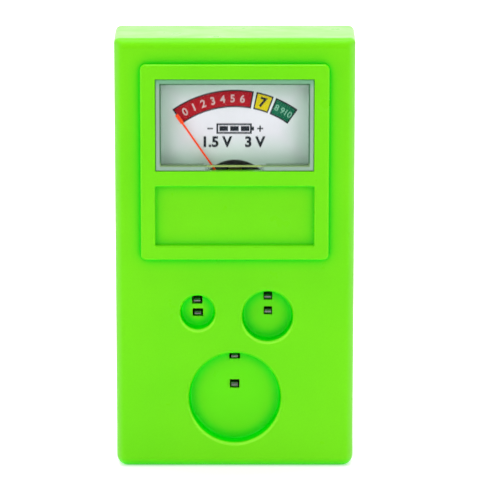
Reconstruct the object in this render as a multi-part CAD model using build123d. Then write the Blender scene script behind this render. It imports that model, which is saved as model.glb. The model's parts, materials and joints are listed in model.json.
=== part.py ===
"""Analogue button-cell battery tester.

A moulded case with three cell wells, sprung contacts behind the wells, a
load-resistor board and a small moving-coil meter behind a clear window.
X points right, Z points up and the front face looks towards -Y.
The origin is the bottom centre of the bounding box.  Sizes in millimetres.
The depths below are laid out from the meter; CENTRING_Y then moves every
piece so that the bounding box is centred in depth.
"""

from build123d import *
from math import cos, pi, radians, sin
import os

# ---- case ----
CASE_W = 54.8           # at the front
REAR_W = 56.2           # the sides open out towards the rear
CASE_H = 100.0
FACE_Y = -12.0          # front face of the case
PARTING_Y = 14.0        # joint between front shell and back cover
BACK_Y = 16.0           # rear face of the back cover
WALL = 2.0
TOP_CORNER_R = 1.2
BASE_CORNER_R = 2.6
FRONT_EDGE_R = 2.3
BACK_EDGE_R = 0.5
PARTING_BEVEL = 0.15    # makes a fine groove where shell and cover meet
INNER_Y = FACE_Y + WALL
INNER_CORNER_R = 1.5
LIP_DEPTH = 2.0
LIP_WALL = 1.2
LIP_GAP = 0.15
LIP_CORNER_R = 0.8
ROOT = 0.5              # how far a boss runs into the wall that carries it
PAST = 1.0              # how far a cutter runs past the surface it opens

# ---- raised bezel on the front ----
BEZEL_HALF_W = 21.5
BEZEL_Z = (49.15, 94.25)
BEZEL_RISE = 1.5
BEZEL_CORNER_R = 1.3
BEZEL_EDGE_R = 0.6
BEZEL_Y = FACE_Y - BEZEL_RISE
WINDOW_HALF_W = 18.1
WINDOW_Z = (69.8, 90.9)
RECESS_HALF_W = 18.15
RECESS_Z = (52.55, 66.25)
RECESS_CORNER_R = 0.3
RECESS_EDGE_R = 0.45
CENTRING_Y = -(BEZEL_Y + BACK_Y) / 2

# ---- cell wells: centre x, centre z, radius at the mouth, at the floor, outside ----
WELL_DEPTH = 4.0
WELL_FLOOR_T = 1.5
WELL_RIM_R = 0.8
WELL_FLOOR_R = 0.7
WELLS = {
    "large": (0.0, 16.35, 10.7, 10.5, 11.9),
    "medium": (7.55, 35.66, 5.88, 5.83, 7.05),
    "small": (-8.55, 36.55, 4.01, 3.98, 5.2),
}
FLOOR_Y = FACE_Y + WELL_DEPTH
CUP_Y = FLOOR_Y + WELL_FLOOR_T
# Window in the floor: centre x, centre z, width, height.
FLOOR_WINDOWS = {
    "large": (-0.05, 18.97, 2.2, 2.0),
    "medium": (7.66, 36.38, 1.9, 1.9),
    "small": (-8.55, 35.95, 2.4, 1.8),
}
# Slot at the top of the floor: centre x, lower z, upper z, width.
RIM_SLOTS = {
    "large": (-0.05, 24.9, 27.0, 2.5),
    "medium": (7.65, 38.9, 41.5, 2.0),
    "small": (-8.7, 37.95, 40.5, 2.4),
}
RIM_SLOT_Y = FLOOR_Y - 0.9

# ---- contacts ----
BOARD_Y = -2.0          # front face of the circuit board
BOARD_T = 1.6
BOARD_BACK_Y = BOARD_Y + BOARD_T
STRIP_T = 0.25
STRIP_W = 1.5
BEND_R = 0.3
CUT_GAP = 0.04          # clearance at the root bend of each leaf
ARM_Y = -5.2
ARM_REACH = 6.6         # root bend to nose
NOSE_Y = -8.9
NOSE_BACK = (0.5, 1.6)  # shoulders and free end of the nose, behind its tip
NOSE_SPREAD = 0.42
NOSE_BEND_R = (0.15, 0.25, 0.15)
NOSE_START = 0.5
RISER_STEP = 0.6
FOOT_LEN = 2.6
# Nose of each contact: centre x, centre z, and the way its arm runs from the nose.
CONTACTS = {
    "large_floor": (-0.05, 18.87, -1),
    "medium_floor": (7.66, 36.28, -1),
    "small_floor": (-8.55, 35.85, -1),
    "large_rim": (-0.05, 25.75, 1),
    "medium_rim": (7.65, 39.8, 1),
    "small_rim": (-8.7, 38.9, 1),
}

# ---- circuit board ----
BOARD_HALF_W = 22.0
BOARD_Z = (9.0, 47.6)
BOARD_CORNER_R = 0.8
BOARD_SCREWS = [(x, z) for x in (-19.5, 19.5) for z in (12.5, 44.0)]
BOARD_POST_R = 2.1
BOARD_SCREW_R = 0.8
RESISTOR_Z = {"large": 17.0, "medium": 25.0, "small": 33.0}
RESISTOR_X = -9.0
RESISTOR_LEN = 6.4
RESISTOR_R = 1.15
RESISTOR_WAIST = 0.15
RESISTOR_END_LEN = 1.6
RESISTOR_END_ROUND = 0.45
RESISTOR_Y = BOARD_BACK_Y + RESISTOR_R + 0.15
LEAD_R = 0.3
LEAD_SPAN = 10.2
LEAD_BEND_R = 0.8
LEAD_TAIL = 0.6
WIRE_PADS = {"red": (14.0, 40.0), "black": (6.0, 43.0)}
WIRE_R = 0.6

# ---- screws ----
CASE_SCREWS = [(-22.0, 5.0), (22.0, 5.0), (-22.4, 95.4), (22.4, 95.4)]
CASE_BOSS_R = 2.3
CASE_BOSS_Y = 10.5
CASE_SCREW_R = 1.0
CASE_SCREW_TIP_Y = 1.2
CASE_SCREW_PASS = 0.15  # radial clearance of the shank in the back cover
CASE_HEAD_SEAT_Y = 12.5
CASE_HEAD = (1.5, 1.85)     # height, radius
CASE_HEAD_POCKET_R = 1.95
SMALL_HEAD = (1.1, 1.5)
PILOT_LAND = 0.8        # plastic left between a blind pilot hole and the face
TIP_LAND = 0.4          # space between a screw tip and the end of its pilot hole

# ---- meter: housing ----
METER_HALF_W = 20.1
METER_Z = (50.5, 93.2)
METER_WALL = 1.2
METER_CORNER_R = 1.5
METER_FIT = 0.2
DIAL_Y = -8.0
DIAL_T = 0.4
DIAL_CORNER_R = 0.6
TUB_RIM_Y = DIAL_Y + DIAL_T
TUB_FLOOR_Y = 6.0
TUB_BACK_Y = 7.2
COVER_PLATE_Y = -10.8
COVER_PLATE_T = 0.9
COVER_SKIRT = 0.7
PANE_Y = -13.2
PANE_T = 0.9
PANE_WALL = 0.95
PANE_FIT = 0.05
PANE_EDGE_R = 0.25
PANE_BACK_Y = DIAL_Y - 0.05
NOTCH_HALF_W = 7.1
METER_EARS = [(x, z) for x in (-22.9, 22.9) for z in (55.5, 88.5)]
EAR_Y = (-2.0, -0.6)
EAR_R = 1.9
METER_SCREW_R = 0.8
SCREW_PASS = 0.1

# ---- meter: movement ----
PIVOT_Z = 63.1
POINTER_REST_DEG = -34.7
POINTER_LEN = 23.4
NEEDLE_Y = (-9.75, -9.45)
NEEDLE_HALF_W = 0.22
TIP_HALF_W = 0.4
TIP_LEN = 2.4
HUB_Y = (-5.8, -5.3)
HUB_R = 1.1
ARM_HALF_W = 0.3
ARM_HALF_T = 0.15
ARM_START = 0.5
CRANK_R = 6.4
TAIL_DEG = (152, 208)
TAIL_LEN = 5.0
TAIL_HALF_W = 0.25
SLEEVE_R = 0.5
SLEEVE_LEN = 1.8
SLEEVE_AT = 3.8
DIAL_HOLE_R = 8.6
DIAL_HALF_W = 19.3
DIAL_Z = (61.5, 92.4)
DIAL_SCREWS = [(-15.5, 64.5), (15.5, 64.5)]
DIAL_SCREW_R = 0.5
DIAL_SCREW_HEAD = (0.5, 1.1)
DIAL_SCREW_LEN = 3.2
POST_R = 1.6
CORE_R = 4.0
CORE_Y = (-2.9, 2.1)
YOKE_R = (6.2, 8.2)
YOKE_EAR = (-3.2, 2.0, 2.2)     # inner end, outer end, half height
YOKE_EAR_T = 1.2
YOKE_EAR_CORNER_R = 1.0
EAR_HOLE_X = 10.6
SPACER_HALF_W = 1.2
SPACER_REACH = (3.0, 6.8)
SPACER_INSET = 0.4
BRIDGE_Y = (-6.8, -6.2)
BRIDGE_HALF_H = 1.7
BRIDGE_EYE_R = 2.3
BRIDGE_SCREW_R = 0.7
BRIDGE_SCREW_HEAD = (0.7, 1.3)
REAR_BRIDGE_Y = (4.6, 5.2)
REAR_BRIDGE_HALF_W = 1.6
REAR_BRIDGE_END = 1.4
REAR_BRIDGE_SCREW_DZ = 9.2
REAR_SCREW_R = 0.55
REAR_SCREW_HEAD = (0.6, 1.1)
JEWEL_R = 1.2
JEWEL_DEPTH = 0.5
FRONT_JEWEL_Y = (BRIDGE_Y[0] - 1.2, BRIDGE_Y[1] + 0.25)
REAR_JEWEL_Y = (REAR_BRIDGE_Y[0] - 0.25, REAR_BRIDGE_Y[1] + 0.45)
JEWEL_SLOT = (0.4, 0.2)     # depth, half width
STAFF_R = 0.3
STAFF_FOOT = (0.7, 0.2)     # radius, thickness
STAFF_IN_JEWEL = 0.2
JEWEL_CLEARANCE = 0.03
COIL_HALF_X = 4.65
COIL_HALF_H = 1.5
COIL_Y = (-3.7, 2.9)
COIL_STRIP = 0.3
WINDING_T = 0.7
WINDING_HALF_H = 1.2
WINDING_CORNER_R = 0.6
SPRING_R = (0.75, 2.9)
SPRING_TURNS = 3.5
SPRING_STRIP = 0.12
FRONT_SPRING_Y = (-5.05, -4.75)
REAR_SPRING_Y = (3.9, 4.2)
COLLET_BORE = 0.04
ANCHOR_R = 3.15
ANCHOR_PIN_R = 0.19
ANCHOR_LAND = 0.2

# ---- meter: terminals ----
TERMINALS = {"red": (13.0, 56.5), "black": (-13.0, 56.5)}
STUD_R = 0.95
STUD_END_Y = 9.6
STUD_HEAD = (0.8, 1.8)      # thickness, radius
LUG_Y = (TUB_BACK_Y, TUB_BACK_Y + 0.5)
LUG_R = 1.9
LUG_TAG = (0.8, 5.0)        # half width, reach
NUT_T = 1.2
NUT_R = 2.0


# ---- basic solids ----
def block(x0, x1, y0, y1, z0, z1):
    """Box given by its limits."""
    return Pos((x0 + x1) / 2, (y0 + y1) / 2, (z0 + z1) / 2) * Box(x1 - x0, y1 - y0, z1 - z0)


def rod(x, z, radius, y0, y1):
    """Round bar along Y."""
    return Pos(x, (y0 + y1) / 2, z) * Rot(90, 0, 0) * Cylinder(radius, y1 - y0)


def slab(x0, x1, z0, z1, y0, y1, corner):
    """Plate facing the front, with its four outline corners rounded."""
    body = block(x0, x1, y0, y1, z0, z1)
    return fillet(body.edges().filter_by(Axis.Y), corner)


def frame_slab(half_w, z_range, y0, y1, corner):
    """Slab centred on X."""
    return slab(-half_w, half_w, z_range[0], z_range[1], y0, y1, corner)


def inset(z_range, margin):
    """A range drawn in by a margin at both ends."""
    return (z_range[0] + margin, z_range[1] - margin)


def edges_at_y(body, y):
    """Edges that lie in the plane at this Y."""
    return body.edges().filter_by_position(Axis.Y, y - 0.01, y + 0.01)


def well_cutter(x, z, mouth_r, floor_r):
    """Slightly tapered hole with a rounded corner round its floor."""
    cone = Pos(x, (FACE_Y + FLOOR_Y) / 2, z) * Rot(90, 0, 0) * Cone(floor_r, mouth_r, WELL_DEPTH)
    return fillet(edges_at_y(cone, FLOOR_Y), WELL_FLOOR_R)


def screw(x, z, seat_y, head, tip_y, shank_r, slots=2):
    """Pan-head screw along Y, its head (height, radius) on the side away from the tip."""
    head_t, head_r = head
    out = 1 if tip_y < seat_y else -1
    head_y = seat_y + out * head_t
    body = rod(x, z, head_r, min(seat_y, head_y), max(seat_y, head_y))
    body = fillet(edges_at_y(body, head_y), head_t * 0.35)
    body += rod(x, z, shank_r, min(tip_y, seat_y), max(tip_y, seat_y))
    cut_y = head_y - out * head_t * 0.45
    slot = block(-head_r * 0.7, head_r * 0.7, min(cut_y, head_y + out), max(cut_y, head_y + out),
                 -head_r * 0.13, head_r * 0.13)
    for turn in range(slots):
        body -= Pos(x, 0, z) * Rot(0, 90 * turn, 0) * slot
    return body


def strip(points, radius, x, width):
    """Bent metal strip: its centre line in Y and Z, centred on x."""
    with BuildSketch(Plane.YZ) as sketch:
        with BuildLine():
            FilletPolyline(*points, radius=radius)
        trace(line_width=STRIP_T)
    return Pos(x - width / 2, 0, 0) * extrude(sketch.sketch, amount=width)


def wire(points, radii, radius):
    """Round wire along straight runs joined by tangent arcs."""
    path = FilletPolyline(*points, radius=radii)
    section = Plane(origin=path @ 0, z_dir=path % 0) * Circle(radius)
    return sweep(section, path=path)


def spiral_spring(y_range, anchor_deg):
    """Flat spiral hairspring about the pivot, its outer end at anchor_deg."""
    steps = int(SPRING_TURNS * 10)
    side = []
    for offset in (-SPRING_STRIP / 2, SPRING_STRIP / 2):
        points = []
        for i in range(steps + 1):
            share = i / steps
            r = SPRING_R[0] + (SPRING_R[1] - SPRING_R[0]) * share + offset
            angle = radians(anchor_deg) - 2 * pi * SPRING_TURNS * (1 - share)
            points.append((r * cos(angle), r * sin(angle)))
        side.append(points)
    with BuildSketch(Plane.XZ) as sketch:
        with BuildLine():
            inner = Spline(*side[0])
            outer = Spline(*side[1])
            Line(inner @ 0, outer @ 0)
            Line(inner @ 1, outer @ 1)
        make_face()
    thick = y_range[1] - y_range[0]
    strip_body = Pos(0, y_range[1], PIVOT_Z) * extrude(sketch.sketch, amount=thick)
    collet = rod(0, PIVOT_Z, SPRING_R[0] - 0.02, *y_range)
    collet -= rod(0, PIVOT_Z, STAFF_R + COLLET_BORE, y_range[0] - PAST, y_range[1] + PAST)
    return strip_body + collet


def on_pointer(body):
    """Turn a piece built for mid-scale to the pointer's resting angle."""
    return Pos(0, 0, PIVOT_Z) * Rot(0, POINTER_REST_DEG, 0) * Pos(0, 0, -PIVOT_Z) * body


# ---- case ----
def case_block(front_w, rear_w, y0, y1):
    """Upright block that tapers in width from y1 to y0, its long edges rounded."""
    plan = Polyline((-front_w / 2, y0), (front_w / 2, y0), (rear_w / 2, y1), (-rear_w / 2, y1), close=True)
    body = extrude(make_face(plan), amount=CASE_H)
    middle = (y0 + y1) / 2
    for at_top, radius in ((True, TOP_CORNER_R), (False, BASE_CORNER_R)):
        corners = [e for e in body.edges() if abs(e.center().Y - middle) < (y1 - y0) / 4
                   and abs(e.center().Z - (CASE_H if at_top else 0)) < 0.01]
        body = fillet(corners, radius)
    return body


def make_bezel():
    """Raised frame round the meter window, with the label recess below it."""
    bezel = frame_slab(BEZEL_HALF_W, BEZEL_Z, BEZEL_Y, FACE_Y + ROOT, BEZEL_CORNER_R)
    bezel = fillet(edges_at_y(bezel, BEZEL_Y), BEZEL_EDGE_R)
    bezel -= frame_slab(RECESS_HALF_W, RECESS_Z, BEZEL_Y - PAST, FACE_Y, RECESS_CORNER_R)
    low, high = RECESS_Z[0] - 0.1, RECESS_Z[1] + 0.1
    lip = [e for e in edges_at_y(bezel, BEZEL_Y)
           if abs(e.center().X) < RECESS_HALF_W + 0.1 and low < e.center().Z < high]
    return fillet(lip, RECESS_EDGE_R)


def make_front_shell():
    shell = case_block(CASE_W, REAR_W, FACE_Y, PARTING_Y)
    shell = fillet(edges_at_y(shell, FACE_Y), FRONT_EDGE_R)
    shell = chamfer(edges_at_y(shell, PARTING_Y), PARTING_BEVEL)
    shell += make_bezel()

    shell -= slab(-CASE_W / 2 + WALL, CASE_W / 2 - WALL, WALL, CASE_H - WALL,
                  INNER_Y, PARTING_Y + PAST, INNER_CORNER_R)
    shell -= frame_slab(METER_HALF_W + METER_FIT, inset(METER_Z, -METER_FIT),
                        COVER_PLATE_Y, INNER_Y + PAST, METER_CORNER_R)
    shell -= block(-WINDOW_HALF_W, WINDOW_HALF_W, BEZEL_Y - PAST, INNER_Y + PAST, *WINDOW_Z)

    for x, z, mouth_r, floor_r, cup_r in WELLS.values():
        shell += rod(x, z, cup_r, FACE_Y + ROOT, CUP_Y)
    for x, z, mouth_r, floor_r, cup_r in WELLS.values():
        shell -= well_cutter(x, z, mouth_r, floor_r)
    mouths = [e for e in edges_at_y(shell, FACE_Y).filter_by(GeomType.CIRCLE)
              if any(abs(e.radius - well[2]) < 0.02 for well in WELLS.values())]
    shell = fillet(mouths, WELL_RIM_R)
    for x, z, w, h in FLOOR_WINDOWS.values():
        shell -= block(x - w / 2, x + w / 2, FLOOR_Y - PAST / 2, CUP_Y + PAST, z - h / 2, z + h / 2)
    for x, z0, z1, w in RIM_SLOTS.values():
        shell -= block(x - w / 2, x + w / 2, RIM_SLOT_Y, CUP_Y + PAST, z0, z1)

    posts = [(CASE_SCREWS, CASE_BOSS_R, CASE_BOSS_Y, CASE_SCREW_R, CASE_SCREW_TIP_Y - TIP_LAND),
             (BOARD_SCREWS, BOARD_POST_R, BOARD_Y, BOARD_SCREW_R, INNER_Y + PILOT_LAND),
             (METER_EARS, EAR_R, EAR_Y[0], METER_SCREW_R, INNER_Y + PILOT_LAND)]
    for places, post_r, end_y, pilot_r, pilot_y in posts:
        for x, z in places:
            shell += rod(x, z, post_r, INNER_Y - ROOT, end_y)
            shell -= rod(x, z, pilot_r, pilot_y, end_y + PAST)
    return shell


def make_back_cover():
    cover = case_block(REAR_W, REAR_W, PARTING_Y, BACK_Y)
    cover = fillet(edges_at_y(cover, BACK_Y), BACK_EDGE_R)
    cover = chamfer(edges_at_y(cover, PARTING_Y), PARTING_BEVEL)
    lip_w = CASE_W / 2 - WALL - LIP_GAP
    lip_z = (WALL + LIP_GAP, CASE_H - WALL - LIP_GAP)
    lip = frame_slab(lip_w, lip_z, PARTING_Y - LIP_DEPTH, PARTING_Y + ROOT, INNER_CORNER_R)
    lip -= frame_slab(lip_w - LIP_WALL, inset(lip_z, LIP_WALL),
                      PARTING_Y - LIP_DEPTH - PAST, PARTING_Y, LIP_CORNER_R)
    cover += lip
    for x, z in CASE_SCREWS:
        cover += rod(x, z, CASE_BOSS_R, CASE_BOSS_Y, PARTING_Y + ROOT)
    for x, z in CASE_SCREWS:
        cover -= rod(x, z, CASE_SCREW_R + CASE_SCREW_PASS, CASE_BOSS_Y - PAST, BACK_Y + PAST)
        cover -= rod(x, z, CASE_HEAD_POCKET_R, CASE_HEAD_SEAT_Y, BACK_Y + PAST)
    return cover


# ---- meter housing ----
def make_meter_cover():
    plate_back = COVER_PLATE_Y + COVER_PLATE_T
    cover = frame_slab(METER_HALF_W, METER_Z, COVER_PLATE_Y, TUB_RIM_Y, METER_CORNER_R)
    cover -= frame_slab(METER_HALF_W - COVER_SKIRT, inset(METER_Z, COVER_SKIRT),
                        plate_back, TUB_RIM_Y + PAST, METER_CORNER_R - COVER_SKIRT)
    x1 = WINDOW_HALF_W - PANE_FIT
    z0, z1 = inset(WINDOW_Z, PANE_FIT)
    pane = block(-x1, x1, PANE_Y, PANE_BACK_Y, z0, z1)
    cover += fillet(edges_at_y(pane, PANE_Y), PANE_EDGE_R)
    cover -= block(-x1 + PANE_WALL, x1 - PANE_WALL, PANE_Y + PANE_T, DIAL_Y + PAST,
                   z0 + PANE_WALL, z1 - PANE_WALL)
    cover -= block(-NOTCH_HALF_W, NOTCH_HALF_W, plate_back, DIAL_Y + PAST,
                   z0 - PAST, z0 + PANE_WALL + PAST)
    return cover


def make_meter_base():
    base = frame_slab(METER_HALF_W, METER_Z, TUB_RIM_Y, TUB_BACK_Y, METER_CORNER_R)
    base -= frame_slab(METER_HALF_W - METER_WALL, inset(METER_Z, METER_WALL),
                       TUB_RIM_Y - PAST, TUB_FLOOR_Y, METER_CORNER_R / 2)
    for x, z in METER_EARS:
        side = 1 if x > 0 else -1
        inner_x = side * (METER_HALF_W - ROOT)
        base += block(min(inner_x, x), max(inner_x, x), *EAR_Y, z - EAR_R, z + EAR_R)
        base += rod(x, z, EAR_R, *EAR_Y)
        base -= rod(x, z, METER_SCREW_R + SCREW_PASS, EAR_Y[0] - PAST, EAR_Y[1] + PAST)
    for x, z in DIAL_SCREWS:
        base += rod(x, z, POST_R, TUB_RIM_Y, TUB_FLOOR_Y + ROOT)
        base -= rod(x, z, DIAL_SCREW_R, TUB_RIM_Y - PAST, TUB_RIM_Y + DIAL_SCREW_LEN + TIP_LAND)
    for x in (-EAR_HOLE_X, EAR_HOLE_X):
        base += rod(x, PIVOT_Z, POST_R, CORE_Y[1], TUB_FLOOR_Y + ROOT)
        base -= rod(x, PIVOT_Z, BRIDGE_SCREW_R, CORE_Y[1] - PAST, TUB_FLOOR_Y - TIP_LAND)
    for dz in (-REAR_BRIDGE_SCREW_DZ, REAR_BRIDGE_SCREW_DZ):
        base += rod(0, PIVOT_Z + dz, POST_R, REAR_BRIDGE_Y[1], TUB_FLOOR_Y + ROOT)
        base -= rod(0, PIVOT_Z + dz, REAR_SCREW_R, REAR_BRIDGE_Y[1] - PAST, TUB_BACK_Y - 0.3)
    for x, z in TERMINALS.values():
        base -= rod(x, z, STUD_R, TUB_FLOOR_Y - PAST, TUB_BACK_Y + PAST)
    return base


def make_dial_plate():
    dial = frame_slab(DIAL_HALF_W, DIAL_Z, DIAL_Y, TUB_RIM_Y, DIAL_CORNER_R)
    dial -= rod(0, PIVOT_Z, DIAL_HOLE_R, DIAL_Y - PAST, TUB_RIM_Y + PAST)
    for x, z in DIAL_SCREWS:
        dial -= rod(x, z, DIAL_SCREW_R + SCREW_PASS, DIAL_Y - PAST, TUB_RIM_Y + PAST)
    return dial


# ---- movement ----
def make_yoke_ring():
    ring = rod(0, PIVOT_Z, YOKE_R[1], *CORE_Y)
    inner, outer, half_h = YOKE_EAR
    ear = slab(inner, outer, -half_h, half_h, CORE_Y[1] - YOKE_EAR_T, CORE_Y[1], YOKE_EAR_CORNER_R)
    for side in (-1, 1):
        ring += Pos(side * EAR_HOLE_X, 0, PIVOT_Z) * Rot(0, 0 if side > 0 else 180, 0) * ear
    ring -= rod(0, PIVOT_Z, YOKE_R[0], CORE_Y[0] - PAST, CORE_Y[1] + PAST)
    for side in (-1, 1):
        ring -= rod(side * EAR_HOLE_X, PIVOT_Z, BRIDGE_SCREW_R + SCREW_PASS,
                    CORE_Y[0] - PAST, CORE_Y[1] + PAST)
    return ring


def make_core_spacers():
    spacers = []
    near, far = SPACER_REACH
    for side in (-1, 1):
        bar = block(-SPACER_HALF_W, SPACER_HALF_W, *inset(CORE_Y, SPACER_INSET),
                    PIVOT_Z + min(side * near, side * far), PIVOT_Z + max(side * near, side * far))
        bar &= rod(0, PIVOT_Z, YOKE_R[0], *CORE_Y)
        bar -= rod(0, PIVOT_Z, CORE_R, CORE_Y[0] - PAST, CORE_Y[1] + PAST)
        spacers.append(bar)
    return group(spacers)


def make_pillar(x):
    """Tube that holds the front bridge off the yoke ear."""
    end_y = CORE_Y[1] - YOKE_EAR_T
    pillar = rod(x, PIVOT_Z, POST_R, BRIDGE_Y[1], end_y)
    return pillar - rod(x, PIVOT_Z, BRIDGE_SCREW_R + SCREW_PASS, BRIDGE_Y[1] - PAST, end_y + PAST)


def make_front_bridge():
    reach = EAR_HOLE_X + BRIDGE_HALF_H
    bridge = slab(-reach, reach, PIVOT_Z - BRIDGE_HALF_H, PIVOT_Z + BRIDGE_HALF_H, *BRIDGE_Y,
                  BRIDGE_HALF_H - 0.1)
    bridge += rod(0, PIVOT_Z, BRIDGE_EYE_R, *BRIDGE_Y)
    bridge += rod(ANCHOR_R, PIVOT_Z, ANCHOR_PIN_R, BRIDGE_Y[0] + ANCHOR_LAND, FRONT_SPRING_Y[1])
    bridge -= rod(0, PIVOT_Z, JEWEL_R, BRIDGE_Y[0] - PAST, BRIDGE_Y[1] + PAST)
    for side in (-1, 1):
        bridge -= rod(side * EAR_HOLE_X, PIVOT_Z, BRIDGE_SCREW_R + SCREW_PASS / 2,
                      BRIDGE_Y[0] - PAST, BRIDGE_Y[1] + PAST)
    return bridge


def make_rear_bridge():
    reach = REAR_BRIDGE_SCREW_DZ + REAR_BRIDGE_END
    bridge = slab(-REAR_BRIDGE_HALF_W, REAR_BRIDGE_HALF_W, PIVOT_Z - reach, PIVOT_Z + reach,
                  *REAR_BRIDGE_Y, REAR_BRIDGE_END)
    bridge += rod(0, PIVOT_Z + ANCHOR_R, ANCHOR_PIN_R, REAR_SPRING_Y[0], REAR_BRIDGE_Y[1] - ANCHOR_LAND)
    bridge -= rod(0, PIVOT_Z, JEWEL_R, REAR_BRIDGE_Y[0] - PAST, REAR_BRIDGE_Y[1] + PAST)
    for dz in (-REAR_BRIDGE_SCREW_DZ, REAR_BRIDGE_SCREW_DZ):
        bridge -= rod(0, PIVOT_Z + dz, REAR_SCREW_R + SCREW_PASS / 2,
                      REAR_BRIDGE_Y[0] - PAST, REAR_BRIDGE_Y[1] + PAST)
    return bridge


def make_jewel_screw(y_range, front):
    """Bearing screw: a slotted plug with the jewel hole in its inner end."""
    y0, y1 = y_range
    body = rod(0, PIVOT_Z, JEWEL_R, y0, y1)
    hole = (y1 - JEWEL_DEPTH, y1 + PAST) if front else (y0 - PAST, y0 + JEWEL_DEPTH)
    body -= rod(0, PIVOT_Z, STAFF_R + JEWEL_CLEARANCE, *hole)
    depth, half_w = JEWEL_SLOT
    slot = (y0 - PAST, y0 + depth) if front else (y1 - depth, y1 + PAST)
    body -= block(-JEWEL_R - PAST, JEWEL_R + PAST, *slot, PIVOT_Z - half_w, PIVOT_Z + half_w)
    return body


def make_coil_former():
    former = block(-COIL_HALF_X, COIL_HALF_X, *COIL_Y, PIVOT_Z - COIL_HALF_H, PIVOT_Z + COIL_HALF_H)
    inner = COIL_HALF_X - COIL_STRIP
    former -= block(-inner, inner, *inset(COIL_Y, COIL_STRIP),
                    PIVOT_Z - COIL_HALF_H - PAST, PIVOT_Z + COIL_HALF_H + PAST)
    return on_pointer(former)


def make_coil_winding():
    outer = COIL_HALF_X + WINDING_T
    winding = block(-outer, outer, *inset(COIL_Y, -WINDING_T),
                    PIVOT_Z - WINDING_HALF_H, PIVOT_Z + WINDING_HALF_H)
    winding = fillet(winding.edges().filter_by(Axis.Z), WINDING_CORNER_R)
    winding -= block(-COIL_HALF_X, COIL_HALF_X, *COIL_Y,
                     PIVOT_Z - WINDING_HALF_H - PAST, PIVOT_Z + WINDING_HALF_H + PAST)
    return on_pointer(winding)


def make_staff(front):
    """Pivot pin on a small foot glued to the winding."""
    foot_r, foot_t = STAFF_FOOT
    if front:
        foot_y = COIL_Y[0] - WINDING_T
        foot = rod(0, PIVOT_Z, foot_r, foot_y - foot_t, foot_y)
        return foot + rod(0, PIVOT_Z, STAFF_R, FRONT_JEWEL_Y[1] - STAFF_IN_JEWEL - 0.25, foot_y)
    foot_y = COIL_Y[1] + WINDING_T
    foot = rod(0, PIVOT_Z, foot_r, foot_y, foot_y + foot_t)
    return foot + rod(0, PIVOT_Z, STAFF_R, foot_y, REAR_JEWEL_Y[0] + STAFF_IN_JEWEL + 0.25)


def make_pointer():
    """Needle: hub, cranked arm that rises through the dial, blade tip and two tails."""
    mid = (HUB_Y[0] + HUB_Y[1]) / 2
    arm_y = (mid - ARM_HALF_T, mid + ARM_HALF_T)
    crank_z = (CRANK_R - ARM_HALF_T, CRANK_R + ARM_HALF_T)
    body = rod(0, 0, HUB_R, *HUB_Y)
    body += block(-ARM_HALF_W, ARM_HALF_W, *arm_y, ARM_START, crank_z[1])
    body += block(-ARM_HALF_W, ARM_HALF_W, NEEDLE_Y[0], arm_y[1], *crank_z)
    body += block(-NEEDLE_HALF_W, NEEDLE_HALF_W, *NEEDLE_Y, CRANK_R, POINTER_LEN)
    body += block(-TIP_HALF_W, TIP_HALF_W, *NEEDLE_Y, POINTER_LEN - TIP_LEN, POINTER_LEN)
    for angle in TAIL_DEG:
        body += Rot(0, angle, 0) * block(-TAIL_HALF_W, TAIL_HALF_W, *arm_y, ARM_START, TAIL_LEN)
    body -= rod(0, 0, STAFF_R, HUB_Y[0] - PAST, HUB_Y[1] + PAST)
    return on_pointer(Pos(0, 0, PIVOT_Z) * body)


def make_counterweights():
    """Two sleeves pinched on the tails of the needle."""
    mid = (HUB_Y[0] + HUB_Y[1]) / 2
    sleeve = Pos(0, mid, SLEEVE_AT) * Cylinder(SLEEVE_R, SLEEVE_LEN)
    sleeve -= block(-TAIL_HALF_W, TAIL_HALF_W, mid - ARM_HALF_T, mid + ARM_HALF_T,
                    SLEEVE_AT - SLEEVE_LEN, SLEEVE_AT + SLEEVE_LEN)
    return group(on_pointer(Pos(0, 0, PIVOT_Z) * Rot(0, angle, 0) * sleeve) for angle in TAIL_DEG)


# ---- contacts ----
def contact_points(name, arm_points):
    """Points given as (y, distance along the arm from the nose), as Y and Z."""
    _, nose_z, way = CONTACTS[name]
    return [(y, nose_z + way * along) for y, along in arm_points]


def make_foot(name):
    """Soldered foot, riser and the root of the arm."""
    solder_y = BOARD_Y - STRIP_T / 2
    riser = ARM_REACH + RISER_STEP
    points = contact_points(name, [(solder_y, ARM_REACH - FOOT_LEN), (solder_y, riser), (ARM_Y, riser),
                                   (ARM_Y, ARM_REACH + CUT_GAP / 2)])
    return strip(points, BEND_R, CONTACTS[name][0], STRIP_W)


def make_leaf(name):
    """Springy arm whose rounded nose stands through the floor of the well."""
    tip_y = NOSE_Y + STRIP_T / 2
    shoulder_y = NOSE_Y + NOSE_BACK[0]
    points = contact_points(name, [
        (ARM_Y, ARM_REACH - CUT_GAP / 2), (ARM_Y - BEND_R, NOSE_START),
        (shoulder_y, NOSE_SPREAD), (tip_y, 0), (shoulder_y, -NOSE_SPREAD),
        (NOSE_Y + NOSE_BACK[1], -NOSE_SPREAD - 0.04)])
    return strip(points, [BEND_R, *NOSE_BEND_R], CONTACTS[name][0], STRIP_W)


# ---- board ----
def lead_x():
    """X of the two holes of a resistor."""
    return (RESISTOR_X - LEAD_SPAN / 2, RESISTOR_X + LEAD_SPAN / 2)


def make_circuit_board():
    board = frame_slab(BOARD_HALF_W, BOARD_Z, BOARD_Y, BOARD_BACK_Y, BOARD_CORNER_R)
    for x, z in BOARD_SCREWS:
        board -= rod(x, z, BOARD_SCREW_R + SCREW_PASS, BOARD_Y - PAST, BOARD_BACK_Y + PAST)
    for z in RESISTOR_Z.values():
        for x in lead_x():
            board -= rod(x, z, LEAD_R, BOARD_Y - PAST, BOARD_BACK_Y + PAST)
    return board


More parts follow.
